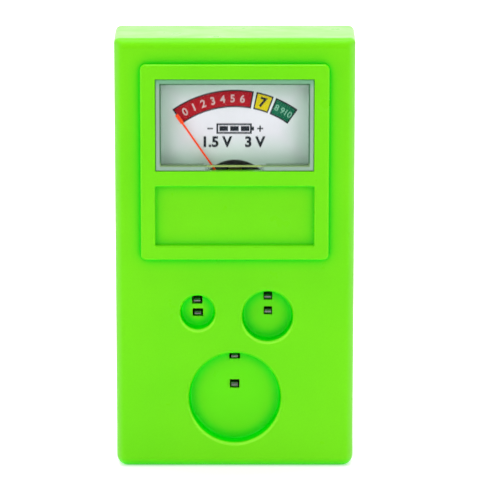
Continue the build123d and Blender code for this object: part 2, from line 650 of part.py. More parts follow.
def make_resistor(name):
    """Axial resistor: a round body with slightly swollen ends."""
    z = RESISTOR_Z[name]
    body = Pos(RESISTOR_X, RESISTOR_Y, z) * Rot(0, 90, 0) * Cylinder(
        RESISTOR_R - RESISTOR_WAIST, RESISTOR_LEN)
    end = Cylinder(RESISTOR_R, RESISTOR_END_LEN)
    end = fillet(end.edges().filter_by(GeomType.CIRCLE), RESISTOR_END_ROUND)
    for side in (-1, 1):
        x = RESISTOR_X + side * (RESISTOR_LEN - RESISTOR_END_LEN) / 2
        body += Pos(x, RESISTOR_Y, z) * Rot(0, 90, 0) * end
    return body


def make_resistor_leads():
    leads = []
    for z in RESISTOR_Z.values():
        for side, x in zip((-1, 1), lead_x()):
            start = RESISTOR_X + side * RESISTOR_LEN / 2
            points = [(start, RESISTOR_Y, z), (x, RESISTOR_Y, z), (x, BOARD_Y - LEAD_TAIL, z)]
            leads.append(wire(points, [LEAD_BEND_R], LEAD_R))
    return group(leads)


# ---- terminals and wires ----
def make_terminal(name):
    x, z = TERMINALS[name]
    head_t, head_r = STUD_HEAD
    head = rod(x, z, head_r, TUB_FLOOR_Y - head_t, TUB_FLOOR_Y)
    return head + rod(x, z, STUD_R, TUB_FLOOR_Y - head_t, STUD_END_Y)


def make_lug(name):
    x, z = TERMINALS[name]
    half_w, reach = LUG_TAG
    lug = rod(x, z, LUG_R, *LUG_Y) + block(x - half_w, x + half_w, *LUG_Y, z - reach, z)
    return lug - rod(x, z, STUD_R, LUG_Y[0] - PAST, LUG_Y[1] + PAST)


def make_nut(name):
    x, z = TERMINALS[name]
    nut = extrude(Plane.XZ * RegularPolygon(NUT_R, 6), amount=NUT_T)
    nut = Pos(x, LUG_Y[1] + NUT_T, z) * nut
    return nut - rod(x, z, STUD_R, LUG_Y[1] - PAST, LUG_Y[1] + NUT_T + PAST)


def make_wire(name):
    """Lead from a terminal lug down to its pad on the back of the board."""
    x, z = TERMINALS[name]
    pad_x, pad_z = WIRE_PADS[name]
    y = LUG_Y[1] + WIRE_R
    points = [(x, y, z - 2.6), (x, y, z - 6.5), ((x + pad_x) / 2, y - 1.8, (z - 6.5 + pad_z) / 2),
              (pad_x, BOARD_BACK_Y + 3.4, pad_z), (pad_x, BOARD_BACK_Y, pad_z)]
    return wire(points, [2.5, 2.5, 2.0], WIRE_R)


def group(shapes):
    """Separate solids that belong to one named piece."""
    return Compound([solid for shape in shapes for solid in shape.solids()])


def build_nodes():
    """Every named piece of the tester."""
    small_tip_y = INNER_Y + PILOT_LAND + TIP_LAND
    pillar_x = (-EAR_HOLE_X, EAR_HOLE_X)
    rear_dz = (-REAR_BRIDGE_SCREW_DZ, REAR_BRIDGE_SCREW_DZ)
    nodes = {
        "front_shell": make_front_shell(),
        "back_cover": make_back_cover(),
        "case_screws": group(screw(x, z, CASE_HEAD_SEAT_Y, CASE_HEAD, CASE_SCREW_TIP_Y, CASE_SCREW_R)
                             for x, z in CASE_SCREWS),
        "meter_cover": make_meter_cover(),
        "meter_base": make_meter_base(),
        "meter_screws": group(screw(x, z, EAR_Y[1], SMALL_HEAD, small_tip_y, METER_SCREW_R)
                              for x, z in METER_EARS),
        "dial_plate": make_dial_plate(),
        "dial_screws": group(screw(x, z, DIAL_Y, DIAL_SCREW_HEAD, TUB_RIM_Y + DIAL_SCREW_LEN,
                                   DIAL_SCREW_R, 1) for x, z in DIAL_SCREWS),
        "yoke_ring": make_yoke_ring(),
        "core_magnet": rod(0, PIVOT_Z, CORE_R, *CORE_Y),
        "core_spacers": make_core_spacers(),
        "bridge_pillars": group(make_pillar(x) for x in pillar_x),
        "front_bridge": make_front_bridge(),
        "rear_bridge": make_rear_bridge(),
        "bridge_screws": group(screw(x, PIVOT_Z, BRIDGE_Y[0], BRIDGE_SCREW_HEAD,
                                     TUB_FLOOR_Y - 2 * TIP_LAND, BRIDGE_SCREW_R, 1) for x in pillar_x),
        "rear_bridge_screws": group(screw(0, PIVOT_Z + dz, REAR_BRIDGE_Y[0], REAR_SCREW_HEAD,
                                          TUB_BACK_Y - 0.5, REAR_SCREW_R, 1) for dz in rear_dz),
        "front_jewel_screw": make_jewel_screw(FRONT_JEWEL_Y, True),
        "rear_jewel_screw": make_jewel_screw(REAR_JEWEL_Y, False),
        "coil_former": make_coil_former(),
        "coil_winding": make_coil_winding(),
        "front_staff": make_staff(True),
        "rear_staff": make_staff(False),
        "pointer": make_pointer(),
        "counterweights": make_counterweights(),
        "front_hairspring": spiral_spring(FRONT_SPRING_Y, 0),
        "rear_hairspring": spiral_spring(REAR_SPRING_Y, 90),
        "circuit_board": make_circuit_board(),
        "board_screws": group(screw(x, z, BOARD_BACK_Y, SMALL_HEAD, small_tip_y, BOARD_SCREW_R)
                              for x, z in BOARD_SCREWS),
        "resistor_leads": make_resistor_leads(),
        "terminal_studs": group(make_terminal(name) for name in TERMINALS),
        "terminal_lugs": group(make_lug(name) for name in TERMINALS),
        "terminal_nuts": group(make_nut(name) for name in TERMINALS),
    }
    for name in CONTACTS:
        nodes[f"{name}_foot"] = make_foot(name)
        nodes[f"{name}_leaf"] = make_leaf(name)
    for name in WELLS:
        nodes[f"{name}_cell_resistor"] = make_resistor(name)
    for name in TERMINALS:
        nodes[f"{name}_wire"] = make_wire(name)
    return nodes


os.makedirs("parts", exist_ok=True)
for node, shape in build_nodes().items():
    export_step(Pos(0, CENTRING_Y, 0) * shape, f"parts/{node}.step")
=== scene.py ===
# Visual model of an analogue button-cell battery tester: materials for the CAD
# nodes, the printed dial, and the small fitted details around them.
import json
import math

import bmesh
import bpy
from mathutils import Matrix, Vector


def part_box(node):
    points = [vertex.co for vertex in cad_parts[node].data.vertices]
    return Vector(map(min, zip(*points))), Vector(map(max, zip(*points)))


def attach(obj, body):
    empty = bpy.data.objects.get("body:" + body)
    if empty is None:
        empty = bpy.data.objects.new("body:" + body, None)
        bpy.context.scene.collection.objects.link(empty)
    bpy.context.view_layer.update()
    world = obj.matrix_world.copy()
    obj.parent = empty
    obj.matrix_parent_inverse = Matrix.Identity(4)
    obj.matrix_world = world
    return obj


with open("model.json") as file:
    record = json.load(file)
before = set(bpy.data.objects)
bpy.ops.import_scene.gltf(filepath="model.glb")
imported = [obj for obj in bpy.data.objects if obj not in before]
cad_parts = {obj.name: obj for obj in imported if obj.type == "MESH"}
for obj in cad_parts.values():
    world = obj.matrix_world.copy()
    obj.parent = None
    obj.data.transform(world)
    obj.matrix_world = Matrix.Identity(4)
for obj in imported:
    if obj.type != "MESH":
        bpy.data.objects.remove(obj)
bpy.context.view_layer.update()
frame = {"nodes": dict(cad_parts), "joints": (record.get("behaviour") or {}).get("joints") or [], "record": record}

MM = 0.001
NODES = frame["nodes"]
ROOT_BODY = "tester"
WELL_NAMES = ("large", "medium", "small")
SLOT_OF = {row["node"]: row["material_slot"] for row in frame["record"]["subparts"]}
PIVOT = Vector(next(j for j in frame["joints"] if j["name"] == "pointer_swing")["pos_m"])

# Clear window: outline of the pane, its moulded wall with its painted green reflection of the case,
# the painted dark shade line along the wall's inner side, and the gap in its lower wall in front of the meter's
# core.
WINDOW_CENTRE = (0.0, 80.35 * MM)
WINDOW_HALF = (18.05 * MM, 10.5 * MM)
WALL_T = 0.95 * MM
LINE_T = 0.30 * MM
NOTCH_HALF = 7.0 * MM
NOTCH_FADE = 1.4 * MM
LINE_BLUR = 0.05 * MM
WALL_BLUR = 0.06 * MM
LOWER_LINE_Z = (71.2 * MM, 72.0 * MM)
TOP_WALL_Z = (88.6 * MM, 90.2 * MM)

# Front of the case: the sunk label panel, the face, and each well's centre and floor
# radius in millimetres.
PANEL_CENTRE = (0.0, 59.4 * MM)
PANEL_HALF = (19.0 * MM, 7.6 * MM)
FACE_Y = -13.25 * MM
WELL_CIRCLES = ((0.0, 16.35, 10.5), (7.55, 35.66, 5.83), (-8.55, 36.55, 3.98))


# ---------------------------------------------------------------- node helpers
class Tree:
    """A material's node tree, with short calls for the nodes that repeat."""

    def __init__(self, name):
        self.material = bpy.data.materials.new(name)
        self.material.use_nodes = True
        self.tree = self.material.node_tree
        self.shader = self.tree.nodes["Principled BSDF"]
        self.output = self.tree.nodes["Material Output"]
        self.place = self.add("ShaderNodeTexCoord").outputs["Object"]

    def add(self, kind, **settings):
        node = self.tree.nodes.new(kind)
        for key, value in settings.items():
            setattr(node, key, value)
        return node

    def link(self, source, target):
        self.tree.links.new(source, target)

    def put(self, socket, value):
        """Links a socket, or sets it to a constant."""
        if isinstance(value, bpy.types.NodeSocket):
            self.link(value, socket)
        else:
            socket.default_value = value

    def stretched(self, scale):
        """Object place with each axis scaled, for streaks along an axis."""
        mapping = self.add("ShaderNodeMapping")
        mapping.inputs["Scale"].default_value = scale
        self.link(self.place, mapping.inputs["Vector"])
        return mapping.outputs["Vector"]

    def noise(self, size_mm, detail=3.0, roughness=0.55, place=None, distortion=0.0):
        """Noise whose features are about size_mm across."""
        node = self.add("ShaderNodeTexNoise")
        node.inputs["Scale"].default_value = 1.0 / (size_mm * MM)
        node.inputs["Detail"].default_value = detail
        node.inputs["Roughness"].default_value = roughness
        node.inputs["Distortion"].default_value = distortion
        self.link(place or self.place, node.inputs["Vector"])
        return node.outputs["Fac"]

    def ramp(self, factor, stops):
        """Colour ramp from (position, colour) pairs."""
        node = self.add("ShaderNodeValToRGB")
        elements = node.color_ramp.elements
        while len(elements) < len(stops):
            elements.new(0.5)
        for element, (position, colour) in zip(elements, stops):
            element.position = position
            element.color = (*colour, 1.0)
        self.link(factor, node.inputs["Fac"])
        return node.outputs["Color"]

    def spread(self, factor, low, high, start=0.3, end=0.7):
        """Map a factor from start..end onto low..high."""
        node = self.add("ShaderNodeMapRange")
        for key, value in (("From Min", start), ("From Max", end), ("To Min", low), ("To Max", high)):
            node.inputs[key].default_value = value
        self.link(factor, node.inputs["Value"])
        return node.outputs["Result"]

    def mix(self, factor, first, second, blend="MIX"):
        node = self.add("ShaderNodeMix", data_type="RGBA", blend_type=blend)
        self.put(node.inputs["Factor"], factor)
        for socket, value in ((node.inputs[6], first), (node.inputs[7], second)):
            self.put(socket, value if isinstance(value, bpy.types.NodeSocket) else (*value, 1.0))
        return node.outputs[2]

    def bump(self, height, depth_mm, strength=1.0, over=None):
        node = self.add("ShaderNodeBump")
        node.inputs["Distance"].default_value = depth_mm * MM
        node.inputs["Strength"].default_value = strength
        self.link(height, node.inputs["Height"])
        if over is not None:
            self.link(over, node.inputs["Normal"])
        return node.outputs["Normal"]

    def blend_shaders(self, factor, first, second):
        node = self.add("ShaderNodeMixShader")
        self.put(node.inputs["Fac"], factor)
        self.link(first, node.inputs[1])
        self.link(second, node.inputs[2])
        return node.outputs["Shader"]

    def math(self, operation, first, second=None):
        node = self.add("ShaderNodeMath", operation=operation)
        self.put(node.inputs[0], first)
        if second is not None:
            self.put(node.inputs[1], second)
        return node.outputs["Value"]

    def split(self, vector):
        """The X, Y and Z outputs of a vector, by letter."""
        parts = self.add("ShaderNodeSeparateXYZ")
        self.link(vector, parts.inputs["Vector"])
        return {axis: parts.outputs[axis] for axis in "XYZ"}

    def outside_circle(self, x, z, radius):
        """Distance beyond a circle in the XZ plane, negative inside it."""
        place = self.split(self.place)
        squares = []
        for axis, middle in (("X", x), ("Z", z)):
            off = self.math("SUBTRACT", place[axis], middle)
            squares.append(self.math("MULTIPLY", off, off))
        return self.math("SUBTRACT", self.math("SQRT", self.math("ADD", *squares)), radius)

    def distance_inside(self, centre, half):
        """Distance from a point to the nearest side of an upright rectangle, inside it."""
        place = self.split(self.place)
        gaps = []
        for axis, middle, reach in zip("XZ", centre, half):
            off = self.math("ABSOLUTE", self.math("SUBTRACT", place[axis], middle))
            gaps.append(self.math("SUBTRACT", reach, off))
        return self.math("MINIMUM", *gaps)

    def set(self, **sockets):
        """Sockets of the main shader, by name with underscores for spaces."""
        for key, value in sockets.items():
            socket = self.shader.inputs[key.replace("_", " ")]
            if isinstance(value, tuple) and len(value) == 3:
                value = (*value, 1.0)
            self.put(socket, value)
        return self


# ---------------------------------------------------------------- materials
# Lime shades, linear. LIME_LOW and LIME_HIGH are the plastic's own colour; the others are painted light and shade
# for corners, undersides, wells, rims and front side edges.
LIME_LOW = (0.128, 0.620, 0.0020)
LIME_HIGH = (0.152, 0.650, 0.0030)
# Painted shade: the deeper green laid into corners, well walls and under ledges.
LIME_PAINTED_SHADE = (0.0005, 0.64, 0.0003)
# Painted highlight on the rims below the wells.
LIME_PAINTED_RIM_HIGHLIGHT = (0.24, 0.76, 0.03)
# Painted highlight along the front side edges.
LIME_PAINTED_EDGE_HIGHLIGHT = (0.19, 0.57, 0.05)
# Painted shade on the well floors and walls; the small well's floor is painted lighter.
WELL_FLOOR_PAINTED_SHADE = (0.125, 0.71, 0.0015)
WELL_WALL_PAINTED_SHADE = (0.0005, 0.69, 0.0003)
SMALL_WELL_FLOOR_PAINTED_LIGHT = (0.210, 0.86, 0.0015)
SMALL_WELL_WALL_PAINTED_SHADE = (0.0005, 0.80, 0.0003)
CREVICE_REACH = 3.0 * MM
# Where the painted edge highlight lies, and where the small well's painted tones apply.
CORNER_X = (25.9 * MM, 27.0 * MM)
SMALL_WELL_X = (-4 * MM, -3 * MM)
SMALL_WELL_Z = (27 * MM, 31 * MM)


def nearest_well(t):
    """Distance beyond the floor circle of the nearest well, negative over its floor."""
    gaps = [t.outside_circle(x * MM, z * MM, radius * MM) for x, z, radius in WELL_CIRCLES]
    return t.math("MINIMUM", t.math("MINIMUM", gaps[0], gaps[1]), gaps[2])


def crevice_share(t, facing_up):
    """Share of painted shade by how deep a point sits in a corner: less in the label panel, none on an
    upward-facing ledge.
    """
    hollow = t.add("ShaderNodeAmbientOcclusion", samples=16, only_local=True)
    hollow.inputs["Distance"].default_value = CREVICE_REACH
    tucked = t.spread(hollow.outputs["AO"], 1.0, 0.0, 0.58, 0.98)
    panel_part = t.spread(t.distance_inside(PANEL_CENTRE, PANEL_HALF), 1.0, 0.55, 0.0, 0.2 * MM)
    ledge_part = t.spread(facing_up, 1.0, 0.0, 0.75, 0.95)
    return t.math("MULTIPLY", t.math("MULTIPLY", tucked, panel_part), ledge_part)


def lime_abs():
    """Moulded lime ABS, even and satin, with painted shade (deeper green) in corners, wells and undersides, and
    painted highlights on the rims below the wells and along the front side edges.
    """
    t = Tree("lime_abs")
    drift = t.ramp(t.noise(30, 2), [(0.3, LIME_LOW), (0.7, LIME_HIGH)])
    flecks = t.ramp(t.noise(0.35, 2), [(0.35, (0.96, 0.97, 0.96)), (0.65, (1.0, 1.0, 1.0))])
    base = t.mix(1.0, drift, flecks, "MULTIPLY")
    place = t.split(t.place)
    facing_up = t.split(t.add("ShaderNodeTexCoord").outputs["Normal"])["Z"]
    gap = nearest_well(t)

    # Masks for the painted shade on the well floors and walls; the small well gets its own painted tones.
    sunk = t.spread(place["Y"], 0.0, 1.0, FACE_Y + 0.35 * MM, FACE_Y + 1.3 * MM)
    in_well = t.math("MULTIPLY", t.spread(gap, 1.0, 0.0, 0.4 * MM, 0.6 * MM), sunk)
    near_wall = t.math("MULTIPLY", t.spread(gap, 0.0, 1.0, -1.3 * MM, -0.3 * MM), in_well)
    small_well = t.math("MULTIPLY", t.spread(place["Z"], 0.0, 1.0, *SMALL_WELL_Z),
                        t.spread(place["X"], 1.0, 0.0, *SMALL_WELL_X))
    painted_floor_tone = t.mix(small_well, WELL_FLOOR_PAINTED_SHADE, SMALL_WELL_FLOOR_PAINTED_LIGHT)
    painted_wall_tone = t.mix(small_well, WELL_WALL_PAINTED_SHADE, SMALL_WELL_WALL_PAINTED_SHADE)

    # Painted highlight on the upward-facing rim fillets below the wells.
    around_well = t.spread(gap, 1.0, 0.0, 1.0 * MM, 1.2 * MM)
    rim = t.math("MULTIPLY", around_well, t.math("SUBTRACT", 1.0, in_well))
    painted_rim_highlight = t.math("MULTIPLY", rim, t.spread(facing_up, 0.0, 1.0, 0.10, 0.45))
    # Painted highlight along the front side edges of the case.
    near_side = t.spread(t.math("ABSOLUTE", place["X"]), 0.0, 0.7, *CORNER_X)
    near_face = t.spread(place["Y"], 1.0, 0.0, FACE_Y + 2 * MM, FACE_Y + 4 * MM)
    painted_edge_highlight = t.math("MULTIPLY", near_side, near_face)

    # Painted shade on faces that point downwards, added to the corner shade.
    painted_underside_shade = t.spread(facing_up, 0.75, 0.0, -0.85, -0.15)
    shaded = t.math("MAXIMUM", t.math("MAXIMUM", crevice_share(t, facing_up), near_wall), painted_underside_shade)
    painted_shade_share = t.math("MULTIPLY", shaded, t.math("SUBTRACT", 1.0, painted_rim_highlight))
    face_tint = t.mix(painted_rim_highlight, t.mix(painted_edge_highlight, base, LIME_PAINTED_EDGE_HIGHLIGHT), LIME_PAINTED_RIM_HIGHLIGHT)
    open_tint = t.mix(in_well, face_tint, painted_floor_tone)
    t.set(Base_Color=t.mix(painted_shade_share, open_tint, t.mix(in_well, LIME_PAINTED_SHADE, painted_wall_tone)))
    t.set(Roughness=t.spread(t.noise(6, 4), 0.27, 0.36))
    orange_peel = t.bump(t.noise(1.1, 2), 0.005, 0.3)
    t.set(Normal=t.bump(t.noise(0.12, 2), 0.002, 0.25, orange_peel))
    t.set(IOR=1.50, Specular_IOR_Level=0.11)
    return t.material


# Painted reflection of the lime case on the cover's walls: pale green, darker at the top, a painted dark shade
# line along the inner side, a paler line low down, and a painted yellow-green highlight at the lower gap.
CLEAR_SHARE = 0.85
WALL_SHARE = 0.88
WALL_PAINTED_REFLECTION = (0.31, 0.44, 0.36)
WALL_TOP_PAINTED_REFLECTION = (0.19, 0.42, 0.26)
LINE_PAINTED_SHADE = (0.06, 0.16, 0.08)
LINE_LOWER_PAINTED_REFLECTION = (0.20, 0.31, 0.14)
LINE_NOTCH_PAINTED_HIGHLIGHT = (0.34, 0.46, 0.12)


def clear_plastic():
    """Clear polystyrene that lamps pass through; its walls carry a painted pale green reflection of the lime case,
    with a painted dark shade line along their inner side.
    """
    t = Tree("clear_plastic")
    t.set(Base_Color=(0.955, 0.975, 0.965), Transmission_Weight=1.0, IOR=1.30)
    t.set(Roughness=t.spread(t.noise(4, 3), 0.015, 0.05))
    t.set(Normal=t.bump(t.noise(9, 1), 0.02, 0.12))
    lamp_ray = t.add("ShaderNodeLightPath").outputs["Is Shadow Ray"]
    through = t.add("ShaderNodeBsdfTransparent")
    through.inputs["Color"].default_value = (0.975, 0.985, 0.982, 1.0)
    clear = t.blend_shaders(t.math("MAXIMUM", lamp_ray, CLEAR_SHARE), t.shader.outputs["BSDF"],
                            through.outputs["BSDF"])

    place = t.split(t.place)
    edge = t.distance_inside(WINDOW_CENTRE, WINDOW_HALF)
    inner = WALL_T + LINE_T
    band = t.spread(edge, WALL_SHARE, 0.0, inner - LINE_BLUR, inner + LINE_BLUR)
    line = t.spread(edge, 0.0, 1.0, WALL_T - WALL_BLUR, WALL_T + WALL_BLUR)
    beside = t.spread(t.math("ABSOLUTE", place["X"]), 0.0, 1.0, NOTCH_HALF - NOTCH_FADE, NOTCH_HALF)
    above = t.math("GREATER_THAN", place["Z"], WINDOW_CENTRE[1])
    solid_share = t.math("MAXIMUM", beside, above)
    band = t.math("MULTIPLY", band, t.math("MAXIMUM", solid_share, t.math("MULTIPLY", line, 0.8)))

    painted_wall_tone = t.mix(t.spread(place["Z"], 0.0, 1.0, *TOP_WALL_Z), WALL_PAINTED_REFLECTION, WALL_TOP_PAINTED_REFLECTION)
    side_line = t.mix(t.spread(place["Z"], 0.0, 1.0, *LOWER_LINE_Z), LINE_LOWER_PAINTED_REFLECTION, LINE_PAINTED_SHADE)
    line_tint = t.mix(solid_share, LINE_NOTCH_PAINTED_HIGHLIGHT, side_line)
    # Painted reflection: a diffuse sheet laid over the wall band.
    painted_reflection = t.add("ShaderNodeBsdfDiffuse")
    t.link(t.mix(line, painted_wall_tone, line_tint), painted_reflection.inputs["Color"])
    t.link(t.blend_shaders(band, clear, painted_reflection.outputs["BSDF"]), t.output.inputs["Surface"])
    return t.material


def moulded(name, colour, lighter, rough, grain_mm=0.25):
    """Textured moulded plastic or lacquer with slight colour drift."""
    t = Tree(name)
    t.set(Base_Color=t.ramp(t.noise(5, 4), [(0.35, colour), (0.7, lighter)]))
    t.set(Roughness=t.spread(t.noise(1.5, 4), rough - 0.06, rough + 0.08))
    t.set(Normal=t.bump(t.noise(grain_mm, 3), 0.012, 0.5))
    return t.material


def metal(name, colour, dark, rough, streak=(1, 1, 1), streak_mm=0.25, metallic=1.0):
    """Metal with rolling or turning streaks and faint tarnish."""
    t = Tree(name)
    lines = t.noise(streak_mm, 4, place=t.stretched(streak))
    tone = t.ramp(t.noise(2.5, 4), [(0.3, dark), (0.72, colour)])
    t.set(Base_Color=t.mix(t.spread(lines, 0.0, 0.35), tone, dark))
    t.set(Metallic=metallic, Roughness=t.spread(lines, rough - 0.05, rough + 0.12))
    t.set(Normal=t.bump(lines, 0.006, 0.5))
    return t.material


def printed_white():
    """Satin white lacquer on sheet aluminium, with a painted green reflection of the lime case near the window's
    edges.
    """
    t = Tree("printed_white")
    white = t.ramp(t.noise(7, 4), [(0.3, (0.80, 0.77, 0.84)), (0.7, (0.84, 0.81, 0.88))])
    edge = t.distance_inside(WINDOW_CENTRE, WINDOW_HALF)
    # Painted reflection of the lime case, fading towards the middle of the dial.
    near_wall = t.spread(edge, 1.0, 0.0, 1.2 * MM, 8.0 * MM)
    t.set(Base_Color=t.mix(near_wall, white, (0.59, 0.75, 0.66)))
    t.set(Roughness=t.spread(t.noise(2, 3), 0.40, 0.52), Specular_IOR_Level=0.25)
    t.set(Normal=t.bump(t.noise(0.15, 3), 0.004, 0.4))
    return t.material


def ink(name, colour, worn, rough=0.45):
    """Screen-printed ink: slightly uneven cover."""
    t = Tree(name)
    t.set(Base_Color=t.ramp(t.noise(0.9, 2), [(0.2, worn), (0.5, colour)]))
    t.set(Roughness=t.spread(t.noise(0.6, 3), rough - 0.06, rough + 0.1), Specular_IOR_Level=0.15)
    return t.material


def laminate():
    """Tan phenolic board with paper grain."""
    t = Tree("laminate")
    fibres = t.noise(0.5, 5, place=t.stretched((0.35, 1.0, 1.6)))
    t.set(Base_Color=t.ramp(fibres, [(0.3, (0.24, 0.145, 0.05)), (0.7, (0.42, 0.28, 0.115))]))
    t.set(Roughness=t.spread(fibres, 0.38, 0.55))
    t.set(Normal=t.bump(fibres, 0.01, 0.4))
    return t.material


MATERIALS = {
    "lime_case": lime_abs(),
    "clear_cover": clear_plastic(),
    "black_moulding": moulded("black_moulding", (0.016, 0.017, 0.018), (0.032, 0.033, 0.035), 0.45),
    "dial_white": printed_white(),
    "plated_screw": metal("plated_screw", (0.66, 0.66, 0.68), (0.46, 0.46, 0.48), 0.30),
    "dark_iron": metal("dark_iron", (0.24, 0.24, 0.26), (0.12, 0.12, 0.13), 0.48, (1, 0.2, 1)),
    "magnet": metal("magnet", (0.36, 0.36, 0.38), (0.20, 0.20, 0.21), 0.42, (1, 0.15, 1)),
    "brass": metal("brass", (0.80, 0.60, 0.26), (0.52, 0.36, 0.13), 0.28, (0.3, 1, 1)),
    "bronze_spring": metal("bronze_spring", (0.78, 0.50, 0.28), (0.48, 0.27, 0.13), 0.26),
    "former": metal("former", (0.80, 0.81, 0.82), (0.58, 0.59, 0.60), 0.30, (1, 0.2, 1)),
    "copper": metal("copper", (0.72, 0.25, 0.09), (0.40, 0.12, 0.04), 0.30, (1, 0.15, 1), 0.08),
    "polished_steel": metal("polished_steel", (0.70, 0.70, 0.72), (0.55, 0.55, 0.57), 0.12),
    "orange_paint": ink("orange_paint", (0.95, 0.075, 0.012), (0.80, 0.05, 0.01), 0.38),
    "nickel_strip": metal("nickel_strip", (0.27, 0.26, 0.27), (0.14, 0.13, 0.14), 0.36, (1, 0.2, 0.2)),
    "board": laminate(),
    "resistor": moulded("resistor_lacquer", (0.52, 0.38, 0.20), (0.66, 0.50, 0.29), 0.34),
    "tin": metal("tin", (0.74, 0.74, 0.74), (0.50, 0.50, 0.51), 0.30),
    "red_pvc": moulded("red_pvc", (0.42, 0.006, 0.008), (0.55, 0.012, 0.012), 0.36),
    "black_pvc": moulded("black_pvc", (0.012, 0.012, 0.013), (0.022, 0.022, 0.024), 0.38),
}
DIAL_RED = ink("dial_red_ink", (0.43, 0.001, 0.010), (0.47, 0.004, 0.014))
DIAL_YELLOW = ink("dial_yellow_ink", (0.74, 0.58, 0.003), (0.77, 0.62, 0.02))
DIAL_GREEN = ink("dial_green_ink", (0.001, 0.13, 0.062), (0.008, 0.16, 0.08))
DIAL_BLACK = ink("dial_black_ink", (0.012, 0.016, 0.024), (0.025, 0.03, 0.04))
DIAL_PALE = ink("dial_pale_ink", (0.66, 0.50, 0.48), (0.58, 0.36, 0.36))
DIAL_MINT = ink("dial_mint_ink", (0.22, 0.52, 0.36), (0.15, 0.40, 0.27))

for node_name, node_object in NODES.items():
    node_object.data.materials.clear()
    node_object.data.materials.append(MATERIALS[SLOT_OF[node_name]])


# ---------------------------------------------------------------- mesh helpers
def add_piece(name, mesh, material, body=ROOT_BODY):
    """Put a mesh in the scene as a piece that rides on a body."""
    piece = bpy.data.objects.new(name, mesh)
    bpy.context.scene.collection.objects.link(piece)
    mesh.materials.append(material)
    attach(piece, body)
    return piece


def mesh_from(name, bm):
    """Finished mesh with its faces turned outwards."""
    bmesh.ops.recalc_face_normals(bm, faces=bm.faces)
    mesh = bpy.data.meshes.new(name)
    bm.to_mesh(mesh)
    bm.free()
    return mesh


# ---------------------------------------------------------------- printed dial
DIAL_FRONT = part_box("dial_plate")[0].y
INK_T = 0.012 * MM
BAND_R = (20.75 * MM, 24.75 * MM)
OUTLINE = 0.34 * MM
ZONES = {
    "red": (-35.3, 10.2, DIAL_RED),
    "yellow": (11.7, 21.2, DIAL_YELLOW),
    "green": (22.5, 35.5, DIAL_GREEN),
}


def on_dial(radius, angle_deg):
    """X and Z of a point given by its radius and its angle from straight up."""
    angle = math.radians(angle_deg)
    return PIVOT.x + radius * math.sin(angle), PIVOT.z + radius * math.cos(angle)


def sector_mesh(name, r0, r1, a0, a1, back, front):
    """Thin closed sector of a ring between two depths."""
    bm = bmesh.new()
    steps = max(4, int(abs(a1 - a0) / 0.8))
    rings = []
    for i in range(steps + 1):
        angle = a0 + (a1 - a0) * i / steps
        row = []
        for radius, y in ((r0, front), (r1, front), (r1, back), (r0, back)):
            x, z = on_dial(radius, angle)
            row.append(bm.verts.new((x, y, z)))
        rings.append(row)
    for first, second in zip(rings, rings[1:]):
        for k in range(4):
            bm.faces.new((first[k], first[(k + 1) % 4], second[(k + 1) % 4], second[k]))
    bm.faces.new(rings[0])
    bm.faces.new(reversed(rings[-1]))
    return mesh_from(name, bm)


def print_zone(name, a0, a1, material):
    """One coloured zone of the arc inside its black outline."""
    edge = sector_mesh(f"dial_{name}_outline", *BAND_R, a0, a1, DIAL_FRONT, DIAL_FRONT - INK_T)
    add_piece(f"dial_{name}_outline", edge, DIAL_BLACK)
    inset_deg = math.degrees(OUTLINE / BAND_R[1])
    fill = sector_mesh(f"dial_{name}_zone", BAND_R[0] + OUTLINE, BAND_R[1] - OUTLINE,
                       a0 + inset_deg, a1 - inset_deg, DIAL_FRONT, DIAL_FRONT - 2 * INK_T)
    add_piece(f"dial_{name}_zone", fill, material)


def print_figure(name, text, size, x, z, turn_deg, material, weight=0.0, layer=3):
    """A printed figure, turned about its own centre."""
    curve = bpy.data.curves.new(name, "FONT")
    curve.body = text
    curve.size = size
    curve.align_x = "CENTER"
    curve.align_y = "CENTER"
    curve.offset = weight
    curve.extrude = INK_T / 2
    scratch = bpy.data.objects.new(name + "_curve", curve)
    mesh = bpy.data.meshes.new_from_object(scratch)
    bpy.data.objects.remove(scratch)
    low = Vector([min(v.co[i] for v in mesh.vertices) for i in range(3)])
    high = Vector([max(v.co[i] for v in mesh.vertices) for i in range(3)])
    centre = (low + high) / 2
    upright = Matrix.Rotation(math.pi / 2, 4, "X")
    turn = Matrix.Rotation(math.radians(turn_deg), 4, "Y")
    place = Matrix.Translation((x, DIAL_FRONT - layer * INK_T, z))
    mesh.transform(place @ turn @ upright @ Matrix.Translation(-centre))
    return add_piece(name, mesh, material)


def bar_mesh(name, boxes, back, front):
    """Thin rectangles given as (x0, x1, z0, z1)."""
    bm = bmesh.new()
    for x0, x1, z0, z1 in boxes:
        corners = [bm.verts.new((x, y, z)) for y in (front, back) for x, z in
                   ((x0, z0), (x1, z0), (x1, z1), (x0, z1))]
        for face in ((0, 1, 2, 3), (7, 6, 5, 4), (0, 4, 5, 1), (1, 5, 6, 2), (2, 6, 7, 3), (3, 7, 4, 0)):
            bm.faces.new([corners[i] for i in face])
    return mesh_from(name, bm)


def print_dial():
    """Three zones with their figures on an arc about the pivot, and the cell symbol."""
    for name, (a0, a1, material) in ZONES.items():
        print_zone(name, a0, a1, material)
    figure_r = 22.75 * MM
    for value in range(7):
        angle = -30.0 + value * 5.75
        x, z = on_dial(figure_r, angle)
        print_figure(f"dial_figure_{value}", str(value), 2.4 * MM, x, z, angle, DIAL_PALE, 0.05 * MM)
    x, z = on_dial(figure_r, 16.5)
    print_figure("dial_figure_7", "7", 3.0 * MM, x, z, 16.5, DIAL_BLACK, 0.12 * MM)
    for text, angle in (("8", 25.0), ("9", 28.6), ("10", 32.6)):
        x, z = on_dial(figure_r, angle)
        print_figure(f"dial_figure_{text}", text, 2.0 * MM, x, z, angle, DIAL_MINT, 0.03 * MM)
    print_battery_symbol()


